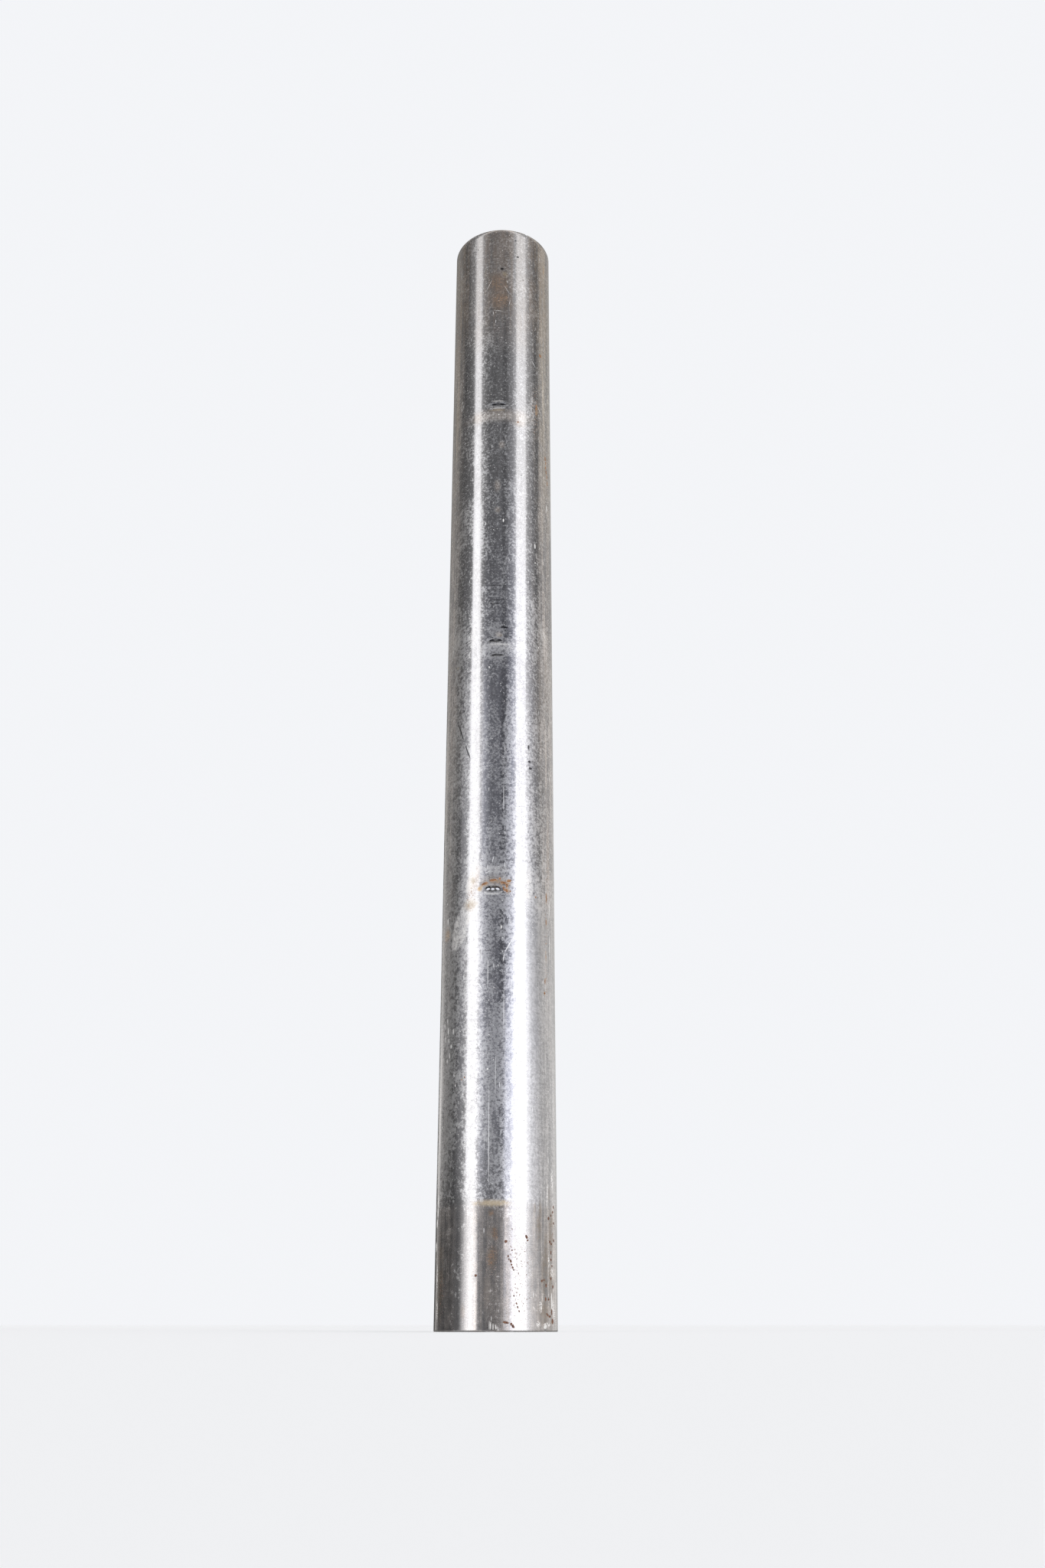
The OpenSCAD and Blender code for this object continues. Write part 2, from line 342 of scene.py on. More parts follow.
# Strength of the soft boxes, as pairs of degrees above level and strength
BOX_FADE = [(0, 2.6), (5, 2.3), (12, 2.1), (31, 2.08), (35, 1.75), (39, 1.62), (48, 1.15)]
# Where the right one ends and how soft their edges usually are, in degrees of azimuth
RIGHT_END = 64.0
BOX_SOFTNESS = 2.5
# Each of the next has two heights in degrees above level, and the value at each. Where the boxes'
# other edges lie, with shifts for the left one's start high up and its end near the floor
LEFT_START = (0.0, 22.0, -57.0, -61.0)
LEFT_START_SHIFT = (34.0, 42.0, 0.0, -3.5)
LEFT_END = (16.0, 44.0, -35.0, -45.0)
LEFT_END_SHIFT = (6.0, 2.0, 0.0, 3.5)
RIGHT_START = (8.0, 20.0, 32.0, 38.5)
# How soft the left one's start is near the floor and high up, and how soft its end is
FOOT_SOFTNESS = (7.0, 3.0, BOX_SOFTNESS, 16.0)
TOP_SOFTNESS = (35.0, 41.0, BOX_SOFTNESS, 5.0)
END_SOFTNESS = (35.0, 41.0, BOX_SOFTNESS, 4.0)
# Light that is added all round and overhead, and how much coolness is left high up and low down
EVEN_LIGHT = (3.0, 12.0, 0.01, 0.04)
OVERHEAD = (50.0, 75.0, 0.0, 0.25)
COOL_ABOVE = (37.0, 25.0, 0.15, 1.0)
COOL_BELOW = (1.0, 12.0, 0.35, 1.0)
# How cool the light is, as pairs of azimuth in degrees and share
COOLNESS = [
    (-180, 0), (-96, 0), (-78, 0.3), (-60, 0.12), (-42, 0.05), (-27, 0.7), (0, 0.8), (14, 1.0),
    (30, 1.0), (44, 0.2), (62, 0.2), (76, 0.4), (92, 0.3), (102, 0), (180, 0),
]
# Colours of the light, of the backdrop that only the camera sees, and of the floor and its own glow
WARM_LIGHT = (1.0, 0.988, 0.965)
COOL_LIGHT = (0.92, 0.95, 1.1)
BACKDROP = (0.90, 0.91, 0.935)
FLOOR_COLOUR = (0.84, 0.85, 0.87)
FLOOR_GLOW = (0.9, 0.91, 0.935)
FLOOR_STRENGTH = 0.45
# Distance from the pipe to each edge of the floor, in metres
FLOOR_REACH = 30.0

# The photograph's view, from a camera fitted to the pipe's outline. In pixels, the picture's height
# and the focal length
PHOTO_HEIGHT = 2048
FOCAL_PIXELS = 1798.3
SENSOR_MM = 36.0
# Nearest distance that the camera sees, in metres
NEAR_CLIP = 0.001
# In degrees, how far the camera is turned from the pipe's front and tilted up. In diameters, how far
# to the side, in front and above the floor it is
VIEW_TURN = 3.8
VIEW_TILT = 21.456
VIEW_SIDE = 0.2155
VIEW_BACK = 11.917
VIEW_RISE = 0.05


def arc_of(turn):
    """How far round the outside a turn from the front reaches, in mm."""
    return math.radians(turn) * OUTER_R / MM


def on_dents(dents, ovals, extra=0.0):
    """Ovals in their places on dents, with some extra height in mm."""
    return [(arc_of(turn) + across * wide, height + up * high, wide * width, high * tall + extra, slant)
            for height, turn, wide, high in dents
            for across, up, width, tall, slant in ovals]


def opaque(colour):
    """A colour with the fourth number that Blender wants. A socket stays as it is."""
    return colour if isinstance(colour, bpy.types.NodeSocket) else (*colour, 1.0)


class Tree:
    """A node tree with short calls. Most of them add nodes and return their main output."""

    def __init__(self, owner):
        owner.use_nodes = True
        self.nodes = owner.node_tree.nodes
        self.links = owner.node_tree.links
        self.nodes.clear()

    def add(self, kind, **settings):
        node = self.nodes.new(kind)
        for name, value in settings.items():
            setattr(node, name, value)
        return node

    def feed(self, node, values):
        """Gives a node's inputs, by name or number, a value or a link each."""
        for name, value in values.items():
            if isinstance(value, bpy.types.NodeSocket):
                self.links.new(value, node.inputs[name])
            else:
                node.inputs[name].default_value = value

    def math(self, operation, *values, clamp=False):
        node = self.add("ShaderNodeMath", operation=operation, use_clamp=clamp)
        self.feed(node, dict(enumerate(values)))
        return node.outputs[0]

    def chain(self, operation, *values):
        """Joins several values by one operation, each with the result so far."""
        result = values[0]
        for value in values[1:]:
            result = self.math(operation, result, value)
        return result

    def times(self, *values):
        return self.chain("MULTIPLY", *values)

    def plus(self, *values):
        return self.chain("ADD", *values)

    def most(self, *values):
        return self.chain("MAXIMUM", *values)

    def raised(self, base, amount, value):
        """A base to which some amount of a value is added."""
        return self.math("MULTIPLY_ADD", value, amount, base)

    def swing(self, value, amount, base):
        """Adds a noise to a base, swinging up and down around its middle."""
        return self.math("MULTIPLY_ADD", self.math("SUBTRACT", value, 0.5), amount, base)

    def vector(self, operation, *values):
        node = self.add("ShaderNodeVectorMath", operation=operation)
        self.feed(node, dict(enumerate(values)))
        return node.outputs["Value" if operation == "LENGTH" else "Vector"]

    def combine(self, x, y, z):
        node = self.add("ShaderNodeCombineXYZ")
        self.feed(node, {0: x, 1: y, 2: z})
        return node.outputs[0]

    def split(self, vector):
        """The three parts of a vector."""
        node = self.add("ShaderNodeSeparateXYZ")
        self.feed(node, {0: vector})
        return node.outputs

    def turn_of(self, x, y):
        """The turn from the front, in degrees."""
        return self.math("DEGREES", self.math("ARCTAN2", x, self.times(y, -1.0)))

    def ramp(self, value, start, end, low=0.0, high=1.0):
        """Goes smoothly from low to high while value goes from start to end."""
        node = self.add("ShaderNodeMapRange", interpolation_type="SMOOTHSTEP")
        self.feed(node, {"Value": value, "From Min": start, "From Max": end, "To Min": low, "To Max": high})
        return node.outputs[0]

    def noise(self, vector, scale, detail, roughness):
        node = self.add("ShaderNodeTexNoise")
        self.feed(node, {"Vector": vector, "Scale": scale, "Detail": detail, "Roughness": roughness})
        return node.outputs[0]

    def dots(self, vector, scale, size, share):
        """Scattered dots: only a share of the cells hold one, and size is against the cell's."""
        node = self.add("ShaderNodeTexVoronoi")
        self.feed(node, {"Vector": vector, "Scale": scale})
        chance = self.split(node.outputs["Color"])[0]
        return self.times(self.ramp(node.outputs["Distance"], size, size * 0.4),
                          self.math("LESS_THAN", chance, share))

    def curve(self, value, points):
        """Follows a smooth curve through points, each a value and its result, which is at least 0."""
        start, end = points[0][0], points[-1][0]
        top = max(result for _, result in points)
        node = self.add("ShaderNodeFloatCurve")
        line = node.mapping.curves[0]
        places = [((at - start) / (end - start), result / top) for at, result in points]
        line.points[0].location, line.points[1].location = places[0], places[-1]
        for place in places[1:-1]:
            line.points.new(*place)
        for point in line.points:
            point.handle_type = "AUTO_CLAMPED"
        node.mapping.update()
        share = self.add("ShaderNodeMapRange")
        self.feed(share, {"Value": value, "From Min": start, "From Max": end})
        self.feed(node, {"Value": share.outputs[0]})
        return self.times(node.outputs[0], top)

    def mix(self, factor, below, above):
        """Goes from one number to another by a factor. The node has its numbers at inputs 2 and 3."""
        node = self.add("ShaderNodeMix", data_type="FLOAT")
        self.feed(node, {0: factor, 2: below, 3: above})
        return node.outputs[0]

    def blend(self, factor, below, above, mode="MIX"):
        """Goes from one colour to another by a factor. The node has its colours at inputs 6 and 7."""
        node = self.add("ShaderNodeMix", data_type="RGBA", blend_type=mode)
        self.feed(node, {0: factor, 6: opaque(below), 7: opaque(above)})
        return node.outputs[2]

    def nearest(self, sheet, ovals):
        """How near the closest oval is: 0 in its middle, 1 at its edge.

        Each oval has its place on the unrolled surface, its width, its height and its slant.
        """
        result = None
        turned = {0: sheet}
        for arc, height, wide, tall, slant in ovals:
            turn = Matrix.Rotation(math.radians(-slant), 3, "Z")
            if slant not in turned:
                node = self.add("ShaderNodeVectorRotate", rotation_type="Z_AXIS")
                self.feed(node, {"Vector": sheet, "Angle": math.radians(-slant)})
                turned[slant] = node.outputs[0]
            size = Vector((2 / wide, 2 / tall, 0))
            start = -(turn @ Vector((arc, height, 0))) * size
            gap = self.vector("LENGTH", self.vector("MULTIPLY_ADD", turned[slant], size, start))
            result = gap if result is None else self.math("MINIMUM", result, gap)
        return result


def spread(start, end, coarse, spots):
    """Places from start to end, in coarse steps, with each spot's fine steps within its reach."""
    places = [start]
    while places[-1] < end:
        steps = [fine for centre, reach, fine in spots if abs(places[-1] - centre) < reach]
        places.append(places[-1] + min(steps, default=coarse))
    scale = (end - start) / (places[-1] - start)
    return [start + (place - start) * scale for place in places]


def dent_radius(turn, height):
    """Outside radius in mm at a place, where the straight edges of the clamps have pressed in."""
    full = OUTER_R / MM
    radius = full
    for dent_height, dent_turn, width, tall in DENTS:
        depth = full - math.sqrt(full ** 2 - (width / 2) ** 2)
        tip = (depth ** 2 + (tall / 2) ** 2) / (2 * depth)
        off = height - dent_height
        lean = math.cos(math.radians(turn - dent_turn))
        if abs(off) >= tip or lean < 0.5:
            continue
        flat = (full - depth + tip - math.sqrt(tip ** 2 - off ** 2)) / lean
        near = max(0.0, DENT_EDGE - abs(radius - flat)) / DENT_EDGE
        radius = min(radius, flat) - near ** 2 * DENT_EDGE / 4
    return radius


def nick_cut(turn):
    """How deep the nick goes into the upper rim at this turn."""
    at, width, depth = NICK
    off = arc_of(turn - at)
    if abs(off) >= width / 2:
        return 0.0
    return max(0.0, depth - width / 2 + math.sqrt((width / 2) ** 2 - off ** 2))


def chip_cut(turn):
    """How deep the chips go into the lower rim at this turn."""
    cuts = (depth * (1 - (arc_of(turn - at) / reach) ** 2) for at, reach, depth in CHIPS)
    return max(0.0, *cuts)


def wall_rings(outside):
    """The mesh's rings as radius and height in mm, up the outside, over the rim and down the bore.

    A radius of None stands for the dented outside.
    """
    top = LENGTH / MM
    outer, inner = OUTER_R / MM, INNER_R / MM
    outer_break, inner_break = OUTER_BREAK / MM, INNER_BREAK / MM
    spots = [(inner_break, *BORE_ENDS), (top, *BORE_ENDS)]
    bore = spread(inner_break, top - inner_break, BORE_STEP, spots)
    rings = [(None, height) for height in outside]
    rings += [(outer - outer_break, top), (inner + inner_break, top)]
    rings += [(inner, height) for height in reversed(bore)]
    rings += [(inner + inner_break, 0.0), (outer - outer_break, 0.0)]
    return rings


def pipe_mesh():
    """The wall of the pipe: outside, upper rim, bore and lower rim, as one closed mesh."""
    top = LENGTH / MM
    outer_break = OUTER_BREAK / MM
    spots = [(0.0, *DENT_TURNS), (NICK[0], *NICK_TURNS)] + [(chip[0], *CHIP_TURNS) for chip in CHIPS]
    turns = spread(-180.0, 180.0, TURN_STEP, spots)[:-1]
    spots = [(dent[0], *DENT_HEIGHTS) for dent in DENTS] + [(0.0, *RIM_HEIGHTS), (top, *RIM_HEIGHTS)]
    clear = 1.2 * outer_break
    between = [height for height in spread(0.0, top, HEIGHT_STEP, spots) if clear < height < top - clear]
    outside = [outer_break] + between + [top - outer_break]
    rings = wall_rings(outside)
    verts = []
    for radius, height in rings:
        low_share = max(0.0, 1 - height / RIM_BAND)
        top_share = max(0.0, 1 - (top - height) / RIM_BAND)
        for turn in turns:
            r = dent_radius(turn, height) if radius is None else radius
            z = height + low_share * chip_cut(turn)
            z -= top_share * nick_cut(turn)
            a = math.radians(turn)
            verts.append((r * math.sin(a) * MM, -r * math.cos(a) * MM, z * MM))
    count, total = len(turns), len(rings)
    faces = []
    for ring in range(total):
        up = (ring + 1) % total
        for i in range(count):
            j = (i + 1) % count
            faces.append((ring * count + i, ring * count + j, up * count + j, up * count + i))
    # The rims and their broken edges are flat: three rows of faces at the top and three at the bottom
    upper_edge = len(outside) - 1
    flat_rows = {upper_edge, upper_edge + 1, upper_edge + 2, total - 3, total - 2, total - 1}
    smooth = [face // count not in flat_rows for face in range(len(faces))]
    mesh = bpy.data.meshes.new("downpipe")
    mesh.from_pydata(verts, [], faces)
    mesh.polygons.foreach_set("use_smooth", smooth)
    mesh.update()
    return mesh


class Steel(Tree):
    """The nodes of the worn steel. What one step finds or lays is there for the steps after it."""

    def __init__(self, material):
        """Finds the place on the pipe in mm and degrees, and the noises."""
        super().__init__(material)
        place = self.add("ShaderNodeTexCoord").outputs["Object"]
        self.mm = self.vector("MULTIPLY", place, (1 / MM, 1 / MM, 1 / MM))
        x, y, self.height = self.split(self.mm)
        self.turn = self.turn_of(x, y)
        self.sheet = self.combine(self.times(self.turn, arc_of(1.0)), self.height, 0.0)
        self.side = self.math("ABSOLUTE", self.turn)
        radius = self.vector("LENGTH", self.combine(x, y, 0.0))
        self.inside = self.ramp(radius, OUTER_R / MM - 0.6, INNER_R / MM + 0.5)

        # Pale specks, patches, clouds, grain, grinding lines round the pipe, water runs, ragged edges
        self.speckle = self.noise(self.mm, 0.55, 4.0, 0.82)
        self.patch = self.noise(self.stretched(1.0, 0.7), 0.2, 3.0, 0.6)
        self.cloud = self.noise(self.stretched(1.0, 0.5), 0.05, 3.0, 0.55)
        self.grain = self.noise(self.mm, 1.8, 2.0, 0.6)
        self.ground = self.noise(self.stretched(0.12, 1.4), 1.0, 3.0, 0.6)
        self.runs = self.noise(self.stretched(0.45, 0.014), 1.0, 4.0, 0.7)
        self.ragged = self.noise(self.mm, 0.9, 3.0, 0.7)

    def stretched(self, across, up):
        """The place in mm, scaled across the pipe and up it."""
        return self.vector("MULTIPLY", self.mm, (across, across, up))

    def group(self, ovals, start=1.1, end=0.6, broken=0.8):
        """1 inside the ovals and 0 outside, with an edge that the ragged noise breaks up."""
        return self.ramp(self.swing(self.ragged, broken, self.nearest(self.sheet, ovals)), start, end)

    def scratches(self, ovals):
        """1 inside the ovals and 0 outside, with an edge that isn't broken up."""
        return self.ramp(self.nearest(self.sheet, ovals), 1.0, 0.5)

    def on_strips(self, share):
        """A share on the two strips that mirror the soft boxes, and 1 beside them."""
        return self.mix(self.strips, 1.0, share)

    def lay(self, layer, colour):
        """Lays a colour over the tone, as strongly as a layer says."""
        self.tone = self.blend(layer, self.tone, colour)

    def find_haze(self):
        """A hazy film on the clear steel: thin below the ring near the lower end, speckled above it.

        Chalk thickens it, and it makes the steel rougher.
        """
        height, patch, ragged = self.height, self.patch, self.ragged
        self.above_ring = self.ramp(self.swing(patch, 12.0, self.swing(ragged, 9.0, height)), *RING_EDGE)
        self.sides = self.ramp(self.side, *SIDES)
        thick = self.times(self.above_ring, self.ramp(height, 420.0, 200.0, 0.0, 0.07))
        thick = self.plus(thick, self.mix(self.above_ring, -0.15, -0.02))
        for start, end, change in THINNER_HAZE:
            thick = self.plus(thick, self.ramp(height, start, end, 0.0, change))
        thick = self.swing(self.cloud, 0.34, thick)
        strong = self.plus(self.ramp(height, 300.0, 200.0, 0.34, 0.5),
                           self.ramp(height, 145.0, 115.0, 0.0, 0.3))
        thick = self.swing(patch, strong, thick)
        thick = self.raised(thick, 0.15, self.group(PALE_PATCHES, 1.3, 0.3))
        sweep = self.group(SWEEP, 1.1, 0.8, 0.5)
        self.chalk = self.most(sweep, self.times(self.group(CHALK, 1.35, 0.5), 0.5))
        thick = self.raised(thick, 0.15, self.chalk)
        thick = self.raised(thick, -0.12, self.group(CLEAR_PATCHES, 1.3, 0.3))
        thick = self.raised(thick, 0.22, self.group(on_dents(DENTS, HALO), 1.15, 0.4, 1.0))
        thick = self.most(thick, self.mix(self.above_ring, -0.3, -0.075))
        thick = self.math("MINIMUM", thick, 0.07)
        haze = self.ramp(self.plus(self.speckle, thick), 0.42, 0.62)
        even = self.times(self.ramp(self.turn, 15.0, 32.0), self.ramp(height, 285.0, 235.0))
        self.haze = self.mix(self.times(even, self.mix(self.above_ring, 0.4, 0.75)), haze, 0.62)
        rough = self.mix(self.haze, 0.1, 0.25)
        rough = self.swing(self.ground, 0.1, rough)
        self.rough = self.swing(self.grain, 0.08, rough)

    def find_tone(self):
        """The steel's own tone, darker and lighter along the grinding lines and the runs."""
        height, sides = self.height, self.sides
        self.tone = self.blend(self.haze, CLEAR_STEEL, HAZY_STEEL)
        lines = self.swing(self.runs, self.mix(sides, 0.5, 1.6), 0.5)
        self.lines = self.ramp(self.swing(self.ground, self.mix(sides, 0.5, 0.7), lines), 0.2, 0.8)
        shade = self.mix(self.lines, self.mix(sides, 0.84, 0.66), self.mix(sides, 1.1, 1.2))
        coarse = self.ramp(self.turn, -16.0, 4.0)
        shade = self.times(shade, self.mix(self.ramp(self.grain, 0.32, 0.68),
                                           self.mix(coarse, 0.85, 0.77), self.mix(coarse, 1.12, 1.18)))
        self.strips = self.times(self.ramp(self.side, *STRIP_START), self.ramp(self.side, *STRIP_END))
        depth = self.times(self.ramp(height, 260.0, 150.0, 0.1, 0.2), self.mix(self.above_ring, 0.6, 1.0))
        depth = self.times(depth, self.on_strips(0.3))
        fine = self.times(self.ramp(self.speckle, 0.34, 0.66, -1.0, 1.0), depth)
        shade = self.times(shade, self.plus(fine, 1.0))
        streaks = self.ramp(self.plus(self.patch, self.runs), 0.75, 1.25, -1.0, 1.0)
        depth = self.times(self.ramp(height, 78.0, 70.0, 0.0, 0.16), self.on_strips(0.3))
        streaks = self.times(streaks, depth)
        shade = self.times(shade, self.plus(streaks, 1.0))
        self.tone = self.blend(1.0, self.tone, self.combine(shade, shade, shade), "MULTIPLY")

    def find_film(self):
        """Brown film on both sides, at the top and below the ring, thin where the lights shine."""
        height = self.height
        film = self.times(self.sides, self.ramp(height, 150.0, 420.0, 0.4, 1.0))
        self.top_film = self.ramp(height, *TOP_FILM)
        film = self.most(film, self.top_film,
                         self.times(self.ramp(height, *LOW_FILM), self.mix(self.strips, 0.75, 0.2)))
        uneven = self.raised(self.plus(self.cloud, self.patch), 2.0, self.runs)
        film = self.times(film, self.ramp(uneven, 1.65, 2.25, 0.4, 1.05))
        self.film = self.most(film, self.times(self.group(STAINS, 1.2, 0.2), self.on_strips(0.65)))

    def find_stains(self):
        """Tan stains, and orange stains broken up into grains."""
        self.tan = self.group(TAN_STAINS, 1.2, 0.3, 1.1)
        grains = self.times(self.ramp(self.ragged, 0.36, 0.52, 0.35, 1.0),
                            self.ramp(self.speckle, 0.4, 0.58, 0.25, 1.0))
        orange = self.times(self.group(RUST_STAINS, 1.3, 0.5, 1.3), grains)
        ends = self.times(self.ramp(self.height, 72.0, 78.0, 0.85, 1.0),
                          self.ramp(self.height, *TOP_BROWN, 1.0, 0.85))
        self.orange = self.times(orange, ends)

    def add_film(self):
        """Tints the tone with the film, and adds the grime at the top."""
        top_tint = self.blend(self.strips, TOP_TINT, STRIP_TINT)
        top_side = self.blend(self.ramp(self.turn, -20.0, 20.0), LEFT_TINT, RIGHT_TINT)
        high_side = self.times(self.ramp(self.height, 480.0, 680.0), self.sides)
        side_tint = self.blend(high_side, SIDE_TINT, top_side)
        tint = self.blend(self.math("SUBTRACT", self.top_film, self.sides, clamp=True), side_tint, top_tint)
        self.lay(self.film, self.blend(1.0, self.tone, tint, "MULTIPLY"))
        uneven = self.ramp(self.plus(self.patch, self.runs), 0.8, 1.15, 0.3, 1.0)
        self.grime = self.times(self.top_film, uneven)
        self.grime = self.times(self.grime, self.on_strips(0.3))
        self.lay(self.times(self.grime, STRENGTH["grime"]), GRIME)

    def add_stains(self):
        """Lays the tan and orange stains and the chalk on the tone."""
        self.tan = self.times(self.tan, self.ramp(self.height, 290.0, 420.0, 1.0, 0.6))
        self.lay(self.times(self.tan, self.mix(self.strips, 0.8, 0.95)),
                 self.blend(self.strips, TAN, STRIP_TAN))
        browner = self.most(self.ramp(self.height, *TOP_BROWN), self.ramp(self.height, *LOW_BROWN))
        self.lay(self.times(self.orange, STRENGTH["orange"]), self.blend(browner, ORANGE, BROWN))
        uneven = self.ramp(self.plus(self.speckle, self.patch), 0.8, 1.15, 0.3, 1.0)
        self.chalk = self.times(self.chalk, uneven)
        self.lay(self.times(self.chalk, STRENGTH["chalk"]), CHALKY)

    def add_dirt(self):
        """Lays the dirt, the crust, and the painted highlight on the raised lip along each dent, on the
        tone.
        """
        dirt = self.group(DIRT, 1.3, 0.4)
        dirt = self.times(dirt, self.ramp(self.plus(self.speckle, self.patch), 0.85, 1.12, 0.15, 1.0))
        self.lay(self.times(dirt, STRENGTH["dirt"]), DIRTY)
        self.crust = self.times(self.group(CRUST, 1.2, 0.6, 1.2),
                                self.ramp(self.ragged, 0.45, 0.56, 0.1, 0.85))
        self.lay(self.crust, CRUSTY)
        # Painted highlights along each dent's raised lip
        self.lip_highlights = self.group(LIP_HIGHLIGHTS, 1.2, 0.5, 0.5)
        self.lay(self.times(self.lip_highlights, STRENGTH["lip_highlights"]), LIP_HIGHLIGHT)

    def find_marks(self):
        """Rust, white flecks, all that is scratched bright or filled with black, and painted shade and
        highlights in dents.
        """
        self.rust = self.most(self.group(RUST_SPOTS, 1.35, 0.85, 1.0),
                              self.times(self.group(RUST_DUST, 1.2, 0.7),
                                         self.ramp(self.ragged, 0.58, 0.66)))
        high = self.ramp(self.height, 90.0, 110.0)
        low_rust, high_rust = (self.blend(self.ramp(self.grain, 0.35, 0.6), dark, light)
                               for dark, light in (LOW_RUST, HIGH_RUST))
        self.rusty = self.blend(high, low_rust, high_rust)
        self.flecks = self.most(self.group(FLECKS),
                                self.times(self.dots(self.mm, 0.36, 0.13, 0.34), self.above_ring))
        fine_lines = self.dots(self.stretched(1.0, 0.12), 0.45, 0.12, 0.3)
        self.bright = self.most(self.scratches(BRIGHT_SCRATCHES), fine_lines)
        # Painted shade: each dent's hollow is painted dark, darker towards both ends
        hollow_shade = self.group(on_dents(DENTS, HOLLOW_SHADE, HOLLOW_SHADE_EXTRA), 1.05, 0.85, 0.35)
        ends = self.ramp(self.nearest(self.sheet, on_dents(DENTS, HOLLOW_END_SHADE)), 1.6, 0.7, 0.8, 1.0)
        hollow_shade = self.times(hollow_shade, ends)
        # Painted highlights: bright spots inside the lowest dent, cut out of its painted shade
        self.glints = self.group(on_dents(DENTS[:1], GLINTS), 1.2, 0.7, 0.7)
        hollow_shade = self.math("SUBTRACT", hollow_shade, self.glints, clamp=True)
        self.dark = self.most(self.scratches(DARK_SCRATCHES), self.group(PITS), hollow_shade,
                              self.dots(self.mm, 0.21, 0.08, 0.2))

    def add_marks(self):
        """Lays the marks on the tone."""
        self.lay(self.times(self.bright, STRENGTH["bright"]), SCRATCHED)
        # Black over the dark scratches and pits, and painted shade over the dents
        self.lay(self.times(self.dark, STRENGTH["dark"]), BLACK_MARKS_AND_SHADE)
        # The painted highlights in the lowest dent
        self.lay(self.glints, GLINTING)
        # White flecks, lighter far round on the left as painted light
        self.lay(self.flecks, self.blend(self.ramp(self.turn, -55.0, -60.0), WHITE_FLECK, LEFT_FLECK_PAINTED_LIGHT))
        self.lay(self.rust, self.rusty)

    def add_ends(self):
        """The worn upper rim, the darker bore and the painted contact shade along the foot."""
        worn = self.ramp(self.height, *(LENGTH / MM - gap for gap in WORN_BAND))
        self.lay(self.times(worn, STRENGTH["rim"]), WORN_RIM)
        self.lay(self.inside, self.blend(self.lines, DARK_BORE, LIGHT_BORE))
        # Painted contact shade: a dark line along the lower end
        self.foot = self.times(self.ramp(self.height, *FOOT_BAND), STRENGTH["foot"])
        self.lay(self.foot, FOOT_SHADE)

    def join(self):
        """Joins the layers in one shader. The haze is its coat, and what covers the steel isn't metal."""
        cover = self.most(self.rust, self.flecks, self.crust, self.foot)
        dull = self.most(cover, self.times(self.film, DULLNESS["film"]),
                         self.times(self.grime, DULLNESS["grime"]),
                         self.times(self.lip_highlights, DULLNESS["lip_highlights"]),
                         self.times(self.chalk, DULLNESS["chalk"]),
                         self.times(self.most(self.tan, self.orange, self.bright), DULLNESS["stains"]),
                         self.times(self.glints, DULLNESS["glints"]))
        metal = self.math("SUBTRACT", 1.0, dull)
        rough = self.mix(cover, self.rough, 0.8)
        rough = self.mix(self.most(self.bright, self.inside), rough, 0.5)
        bare = self.most(cover, self.dark, self.inside, self.times(self.most(self.tan, self.orange), 0.9))
        clear = self.math("SUBTRACT", 1.0, bare)
        coat = self.times(self.mix(self.haze, 0.1, 1.0), clear)
        bump = self.add("ShaderNodeBump")
        relief = self.raised(self.plus(self.speckle, self.ground), 0.5, self.grain)
        self.feed(bump, {"Distance": RELIEF * MM, "Strength": 1.0, "Height": relief})
        shader = self.add("ShaderNodeBsdfPrincipled")
        self.feed(shader, {
            "Metallic": metal, "Base Color": self.tone, "Roughness": rough, "Normal": bump.outputs[0],
            "Coat Weight": coat, "Coat Normal": bump.outputs[0],
            "Coat Roughness": COAT_ROUGHNESS, "Coat IOR": COAT_IOR,
        })
        out = self.add("ShaderNodeOutputMaterial")
        self.feed(out, {"Surface": shader.outputs[0]})


def steel():
    """Worn steel: ground round the pipe, with a speckled haze, brown water runs, stains and rust."""
    material = bpy.data.materials.new("worn_steel")
    surface = Steel(material)
    surface.find_haze()
    surface.find_tone()
    surface.find_film()
    surface.find_stains()
    surface.add_film()
    surface.add_stains()
    surface.add_dirt()
    surface.find_marks()
    surface.add_marks()
    surface.add_ends()
    surface.join()
    return material


def soft_box(t, level, azimuth, start, end, light, start_soft=BOX_SOFTNESS, end_soft=BOX_SOFTNESS):
    """Adds a tall soft box between two lines of azimuth, each with its own softness."""
    outside = t.most(t.math("DIVIDE", t.math("SUBTRACT", start, azimuth), start_soft),
                     t.math("DIVIDE", t.math("SUBTRACT", azimuth, end), end_soft))
    return t.most(level, t.times(t.ramp(outside, 1.0, -1.0), light))


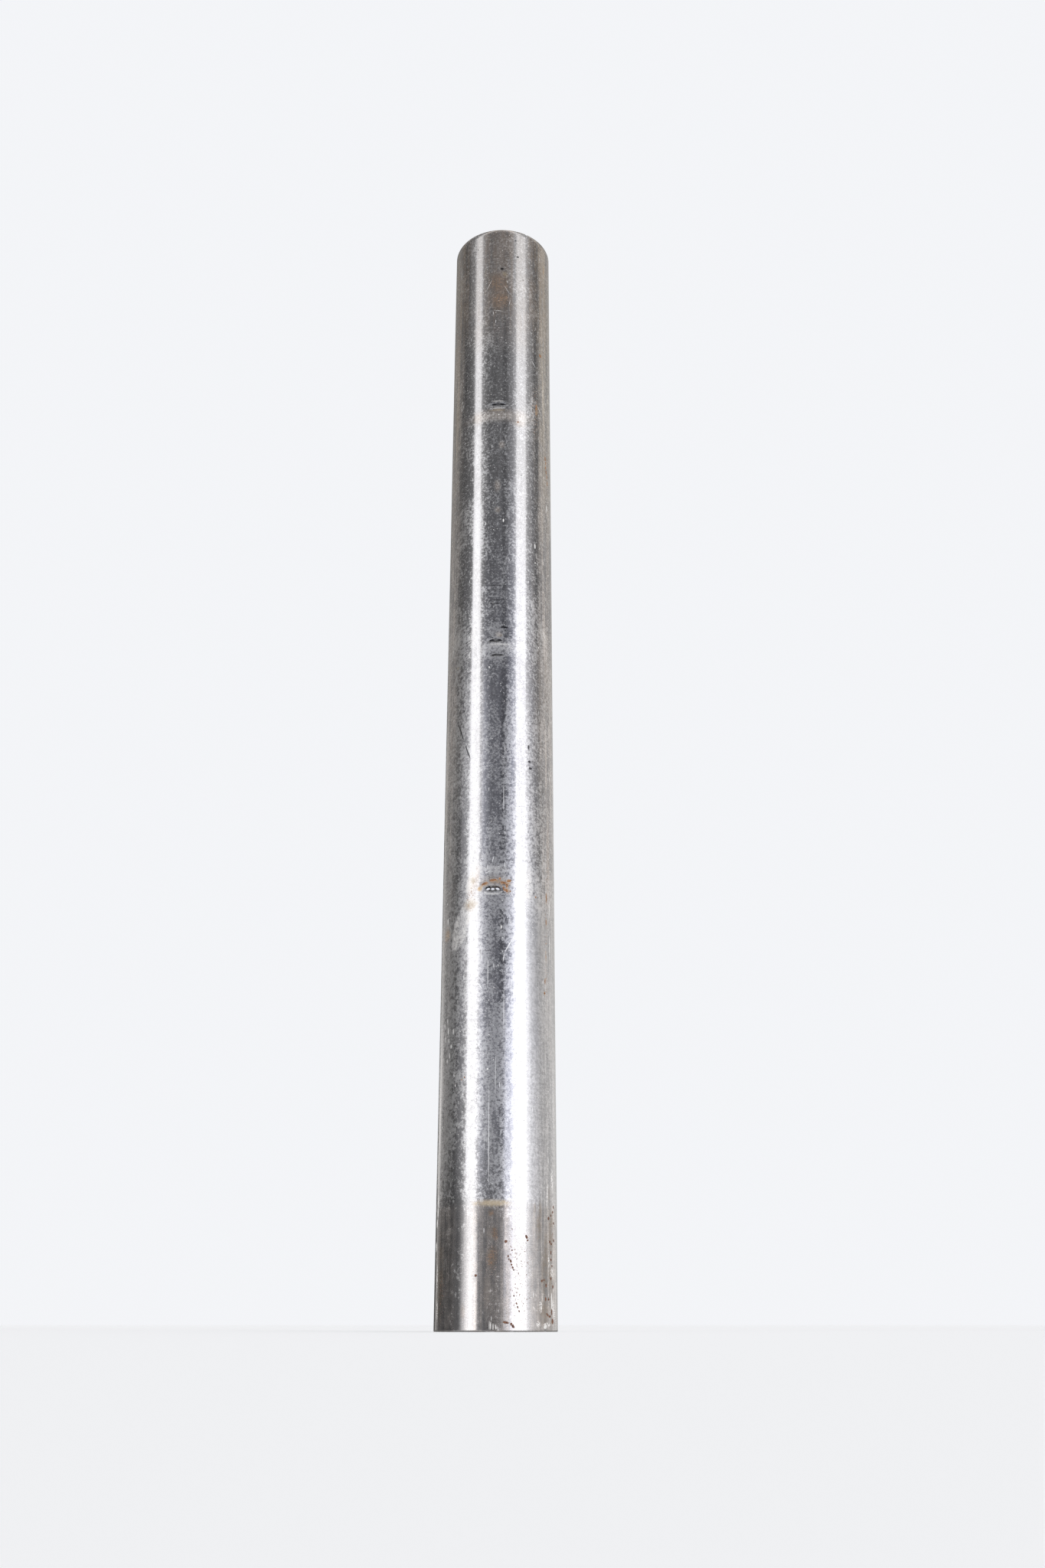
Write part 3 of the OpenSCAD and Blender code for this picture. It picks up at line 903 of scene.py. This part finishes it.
def studio():
    """The light: a dark room with a tall soft box each side of the camera, and a pale backdrop."""
    world = bpy.data.worlds.new("studio")
    bpy.context.scene.world = world
    t = Tree(world)
    x, y, z = t.split(t.add("ShaderNodeTexCoord").outputs["Generated"])
    azimuth = t.turn_of(x, y)
    rise = t.math("DEGREES", t.math("ARCSINE", z))
    upper, middle, lower = (t.curve(azimuth, points) for points in (UPPER_ROOM, MIDDLE_ROOM, LOWER_ROOM))
    level = t.mix(t.ramp(rise, *UPPER_TO_MIDDLE), upper,
                  t.mix(t.ramp(rise, *MIDDLE_TO_LOWER), middle, lower))
    corner = t.times(t.ramp(rise, *CORNER_RISE), t.ramp(azimuth, *CORNER_AZIMUTH))
    level = t.times(level, t.mix(corner, 1.0, CORNER_SHARE))
    level = t.plus(level, t.ramp(rise, *EVEN_LIGHT))

    # The left box leans outwards with its height, and the right one is wider near the floor
    fade = t.curve(rise, BOX_FADE)
    end_shift = t.ramp(rise, *LEFT_END_SHIFT)
    left_start = t.plus(t.ramp(rise, *LEFT_START), t.ramp(rise, *LEFT_START_SHIFT))
    left_end = t.plus(t.ramp(rise, *LEFT_END), end_shift)
    start_soft = t.most(t.ramp(rise, *FOOT_SOFTNESS), t.ramp(rise, *TOP_SOFTNESS))
    end_soft = t.ramp(rise, *END_SOFTNESS)
    level = soft_box(t, level, azimuth, left_start, left_end, fade, start_soft, end_soft)
    level = soft_box(t, level, azimuth, t.ramp(rise, *RIGHT_START), RIGHT_END, fade)
    level = t.plus(level, t.ramp(rise, *OVERHEAD))

    light = t.add("ShaderNodeBackground")
    cool = t.curve(azimuth, COOLNESS)
    cool = t.times(cool, t.ramp(rise, *COOL_ABOVE))
    cool = t.times(cool, t.ramp(rise, *COOL_BELOW))
    t.feed(light, {"Strength": level, "Color": t.blend(cool, WARM_LIGHT, COOL_LIGHT)})
    backdrop = t.add("ShaderNodeBackground")
    t.feed(backdrop, {"Color": opaque(BACKDROP)})
    seen = t.add("ShaderNodeLightPath").outputs["Is Camera Ray"]
    shown = t.add("ShaderNodeMixShader")
    t.feed(shown, {0: seen, 1: light.outputs[0], 2: backdrop.outputs[0]})
    out = t.add("ShaderNodeOutputWorld")
    t.feed(out, {"Surface": shown.outputs[0]})


def floor():
    """A wide, plain, pale floor at the pipe's foot. It shades nothing, and the steel doesn't mirror it."""
    mesh = bpy.data.meshes.new("floor")
    reach = FLOOR_REACH
    corners = [(-reach, -reach, 0), (reach, -reach, 0), (reach, reach, 0), (-reach, reach, 0)]
    mesh.from_pydata(corners, [], [(0, 1, 2, 3)])
    material = bpy.data.materials.new("floor")
    t = Tree(material)
    shader = t.add("ShaderNodeBsdfPrincipled")
    t.feed(shader, {
        "Base Color": opaque(FLOOR_COLOUR), "Roughness": 1.0, "Specular IOR Level": 0.0,
        "Emission Color": opaque(FLOOR_GLOW), "Emission Strength": FLOOR_STRENGTH,
    })
    out = t.add("ShaderNodeOutputMaterial")
    t.feed(out, {"Surface": shader.outputs[0]})
    mesh.materials.append(material)
    obj = bpy.data.objects.new("floor", mesh)
    obj.visible_glossy = obj.visible_shadow = False
    bpy.context.scene.collection.objects.link(obj)


def camera():
    """The photograph's view, from just above the floor and looking up the pipe."""
    diameter = 2 * OUTER_R
    turn, tilt = math.radians(VIEW_TURN), math.radians(VIEW_TILT)
    side = Vector((math.cos(turn), math.sin(turn), 0))
    back = Vector((math.sin(turn), -math.cos(turn), 0))
    forward = -back * math.cos(tilt) + Vector((0, 0, math.sin(tilt)))
    up = side.cross(forward)
    facing = Matrix((side, up, -forward)).transposed()
    spot = side * VIEW_SIDE * diameter + back * VIEW_BACK * diameter + Vector((0, 0, VIEW_RISE * diameter))
    data = bpy.data.cameras.new("camera")
    data.clip_start = NEAR_CLIP
    data.sensor_width = SENSOR_MM
    data.lens = FOCAL_PIXELS / PHOTO_HEIGHT * SENSOR_MM
    obj = bpy.data.objects.new("camera", data)
    bpy.context.scene.collection.objects.link(obj)
    obj.matrix_world = Matrix.Translation(spot) @ facing.to_4x4()
    bpy.context.scene.camera = obj


pipe = bpy.data.objects.new("downpipe", pipe_mesh())
bpy.context.scene.collection.objects.link(pipe)
pipe.data.materials.append(steel())
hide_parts("pipe")
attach(pipe, "root")
studio()
floor()
camera()
bpy.context.scene.view_settings.view_transform = "Standard"
